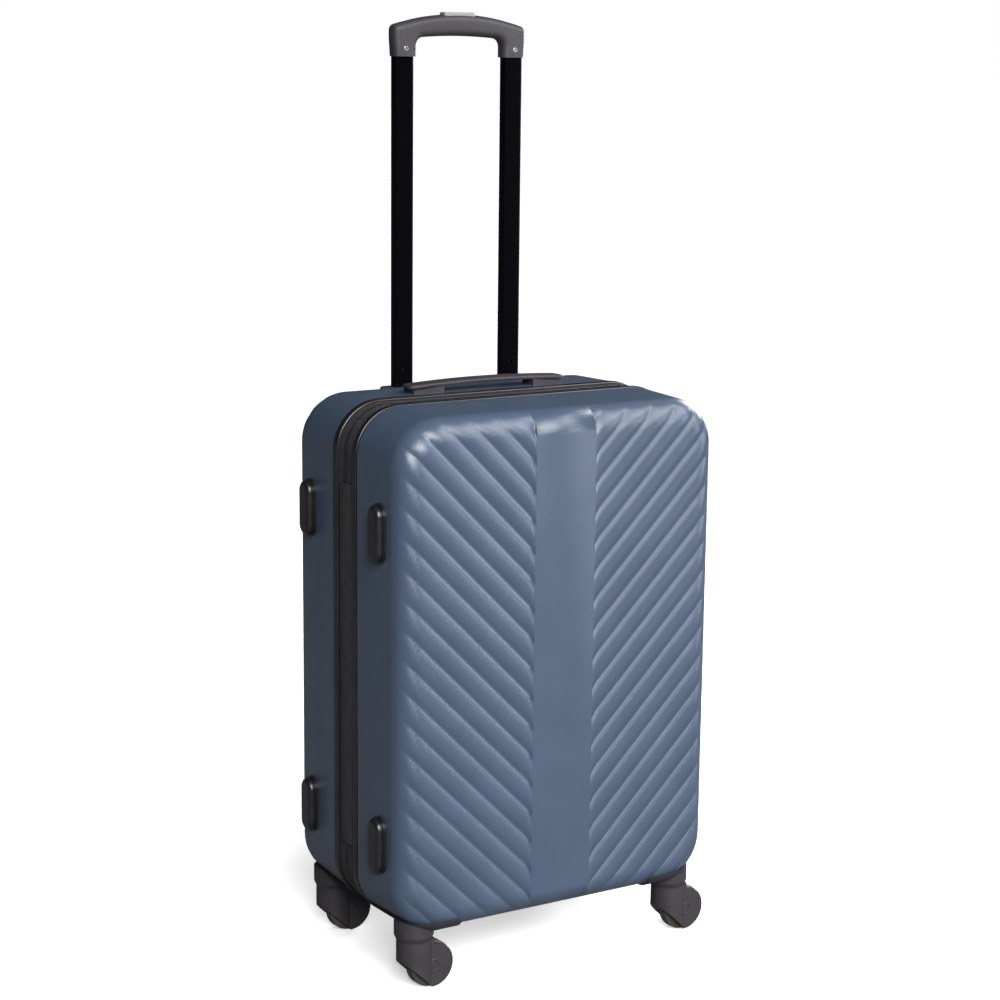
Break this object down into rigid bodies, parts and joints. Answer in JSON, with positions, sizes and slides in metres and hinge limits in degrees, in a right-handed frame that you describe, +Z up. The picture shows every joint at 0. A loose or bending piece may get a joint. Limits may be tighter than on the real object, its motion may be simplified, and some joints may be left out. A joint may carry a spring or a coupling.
{
  "type": "hard shell suitcase",
  "caption": "Hard shell travel case with ribbed front, telescopic pull handle, carry handles, zip, combination lock and swivel casters.",
  "frame": {"origin": "on the ground under the middle of the case, wheels touching z = 0", "axes": "+Z up, +X along the width away from the hinge side, -Y towards the ribbed front half, +Y towards the pull handle"},
  "size_m": [0.4415, 0.262, 1.0815],
  "materials": {
    "shell_polycarbonate": "moulded polycarbonate, fine diamond texture, satin gloss",
    "lining_cloth": "plain woven polyester",
    "piping": "moulded edge strip",
    "zip_tape": "woven tape",
    "strap_webbing": "elastic webbing",
    "tube_black": "black anodised",
    "steel": "zinc plated",
    "zip_metal": "dark nickel",
    "wheel_rubber": "grey polyurethane",
    "button_plastic": "gloss",
    "dial_plastic": "knurled",
    "dark_plastic": "fine satin moulded"
  },
  "bodies": {
    "rear_case": {"rear_shell": "shell_polycarbonate", "rear_lining": "lining_cloth", "rear_piping": "piping", "rear_zip_stringer": "zip_tape", "hinge_gusset": "zip_tape", "outer_tube_left": "tube_black", "outer_tube_right": "tube_black", "trolley_top_plate": "dark_plastic", "trolley_base_bracket": "dark_plastic", "rear_side_feet": "dark_plastic", "caster_housing_rear_left": "dark_plastic", "caster_housing_rear_right": "dark_plastic", "rear_fasteners": "steel", "top_handle_bases": "dark_plastic", "side_handle_bases": "dark_plastic", "lock_body": "dark_plastic", "packing_straps": "strap_webbing", "strap_buckles": "dark_plastic"},
    "front_case": {"front_shell": "shell_polycarbonate", "front_lining": "lining_cloth", "front_piping": "piping", "front_zip_stringer": "zip_tape", "front_side_feet": "dark_plastic", "caster_housing_front_left": "dark_plastic", "caster_housing_front_right": "dark_plastic", "front_fasteners": "steel"},
    "trolley_handle": {"grip_front_half": "dark_plastic", "grip_rear_half": "dark_plastic", "grip_screws": "steel", "inner_tube_left": "tube_black", "inner_tube_right": "tube_black", "tube_end_guides": "dark_plastic", "button_spring": "steel"},
    "trolley_button": {"release_button": "button_plastic", "push_rods": "dark_plastic"},
    "lock_pin_left": {"lock_pin_left": "steel"},
    "lock_pin_right": {"lock_pin_right": "steel"},
    "top_carry_handle": {"top_handle_grip": "dark_plastic"},
    "side_carry_handle": {"side_handle_grip": "dark_plastic"},
    "lock_release": {"lock_release": "button_plastic"},
    "lock_dial_1": {"lock_dial_1": "dial_plastic"},
    "lock_dial_2": {"lock_dial_2": "dial_plastic"},
    "lock_dial_3": {"lock_dial_3": "dial_plastic"},
    "zip_slider_upper": {"zip_slider_upper": "zip_metal"},
    "zip_slider_lower": {"zip_slider_lower": "zip_metal"},
    "zip_pull_upper": {"zip_pull_upper": "zip_metal"},
    "zip_pull_lower": {"zip_pull_lower": "zip_metal"},
    "caster_front_left": {"fork_front_left": "dark_plastic", "axle_front_left": "steel"},
    "wheel_front_left": {"wheel_front_left": "wheel_rubber"},
    "caster_front_right": {"fork_front_right": "dark_plastic", "axle_front_right": "steel"},
    "wheel_front_right": {"wheel_front_right": "wheel_rubber"},
    "caster_rear_left": {"fork_rear_left": "dark_plastic", "axle_rear_left": "steel"},
    "wheel_rear_left": {"wheel_rear_left": "wheel_rubber"},
    "caster_rear_right": {"fork_rear_right": "dark_plastic", "axle_rear_right": "steel"},
    "wheel_rear_right": {"wheel_rear_right": "wheel_rubber"}
  },
  "joints": [
    {"name": "shell_open", "type": "hinge", "parent": "rear_case", "child": "front_case", "pos_m": [-0.222, -0.003, 0.354], "axis": [0, 0, -1], "range_deg": [0, 180], "deforming": ["hinge_gusset"]},
    {"name": "trolley_slide", "type": "slide", "parent": "rear_case", "child": "trolley_handle", "axis": [0, 0, 1], "range_m": [-0.37, 0]},
    {"name": "button_press", "type": "slide", "parent": "trolley_handle", "child": "trolley_button", "axis": [0, 0, -1], "range_m": [0, 0.0035], "stiffness_N_per_m": 400, "springref_m": -0.003, "deforming": ["button_spring"]},
    {"name": "pin_left_draw", "type": "slide", "parent": "trolley_handle", "child": "lock_pin_left", "axis": [1, 0, 0], "range_m": [0, 0.003]},
    {"name": "pin_right_draw", "type": "slide", "parent": "trolley_handle", "child": "lock_pin_right", "axis": [-1, 0, 0], "range_m": [0, 0.003]},
    {"name": "top_handle_lift", "type": "slide", "parent": "rear_case", "child": "top_carry_handle", "axis": [0, 0, 1], "range_m": [0, 0.01], "stiffness_N_per_m": 200, "springref_m": -0.002},
    {"name": "side_handle_lift", "type": "slide", "parent": "rear_case", "child": "side_carry_handle", "axis": [1, 0, 0], "range_m": [0, 0.01], "stiffness_N_per_m": 200, "springref_m": -0.002},
    {"name": "lock_release_press", "type": "slide", "parent": "rear_case", "child": "lock_release", "axis": [-1, 0, 0], "range_m": [0, 0.002], "stiffness_N_per_m": 300, "springref_m": -0.001},
    {"name": "dial_1_turn", "type": "hinge", "parent": "rear_case", "child": "lock_dial_1", "pos_m": [0.2096, 0.044, 0.502], "axis": [0, 0, 1], "continuous": true},
    {"name": "dial_2_turn", "type": "hinge", "parent": "rear_case", "child": "lock_dial_2", "pos_m": [0.2096, 0.044, 0.511], "axis": [0, 0, 1], "continuous": true},
    {"name": "dial_3_turn", "type": "hinge", "parent": "rear_case", "child": "lock_dial_3", "pos_m": [0.2096, 0.044, 0.52], "axis": [0, 0, 1], "continuous": true},
    {"name": "zip_upper_slide", "type": "slide", "parent": "rear_case", "child": "zip_slider_upper", "axis": [0, 0, 1], "range_m": [0, 0.05]},
    {"name": "pull_upper_swing", "type": "hinge", "parent": "zip_slider_upper", "child": "zip_pull_upper", "pos_m": [0.2146, -0.003, 0.541], "axis": [0, -1, 0], "range_deg": [0, 150]},
    {"name": "zip_lower_slide", "type": "slide", "parent": "rear_case", "child": "zip_slider_lower", "axis": [0, 0, 1], "range_m": [-0.36, 0]},
    {"name": "pull_lower_swing", "type": "hinge", "parent": "zip_slider_lower", "child": "zip_pull_lower", "pos_m": [0.2146, -0.003, 0.507], "axis": [0, -1, 0], "range_deg": [0, 150]},
    {"name": "swivel_front_left", "type": "hinge", "parent": "front_case", "child": "caster_front_left", "pos_m": [-0.1743, -0.0993, 0.06], "axis": [0, 0, 1], "continuous": true},
    {"name": "roll_front_left", "type": "hinge", "parent": "caster_front_left", "child": "wheel_front_left", "pos_m": [-0.15438, -0.09756, 0.027], "axis": [-0.0872, 0.9962, 0], "continuous": true},
    {"name": "swivel_front_right", "type": "hinge", "parent": "front_case", "child": "caster_front_right", "pos_m": [0.1743, -0.0993, 0.06], "axis": [0, 0, 1], "continuous": true},
    {"name": "roll_front_right", "type": "hinge", "parent": "caster_front_right", "child": "wheel_front_right", "pos_m": [0.19422, -0.09756, 0.027], "axis": [-0.0872, 0.9962, 0], "continuous": true},
    {"name": "swivel_rear_left", "type": "hinge", "parent": "rear_case", "child": "caster_rear_left", "pos_m": [-0.1743, 0.0993, 0.06], "axis": [0, 0, 1], "continuous": true},
    {"name": "roll_rear_left", "type": "hinge", "parent": "caster_rear_left", "child": "wheel_rear_left", "pos_m": [-0.15438, 0.10104, 0.027], "axis": [-0.0872, 0.9962, 0], "continuous": true},
    {"name": "swivel_rear_right", "type": "hinge", "parent": "rear_case", "child": "caster_rear_right", "pos_m": [0.1743, 0.0993, 0.06], "axis": [0, 0, 1], "continuous": true},
    {"name": "roll_rear_right", "type": "hinge", "parent": "caster_rear_right", "child": "wheel_rear_right", "pos_m": [0.19422, 0.10104, 0.027], "axis": [-0.0872, 0.9962, 0], "continuous": true}
  ],
  "couplings": [
    {"joint": "pin_left_draw", "follows": "button_press", "ratio": 0.857},
    {"joint": "pin_right_draw", "follows": "button_press", "ratio": 0.857}
  ]
}
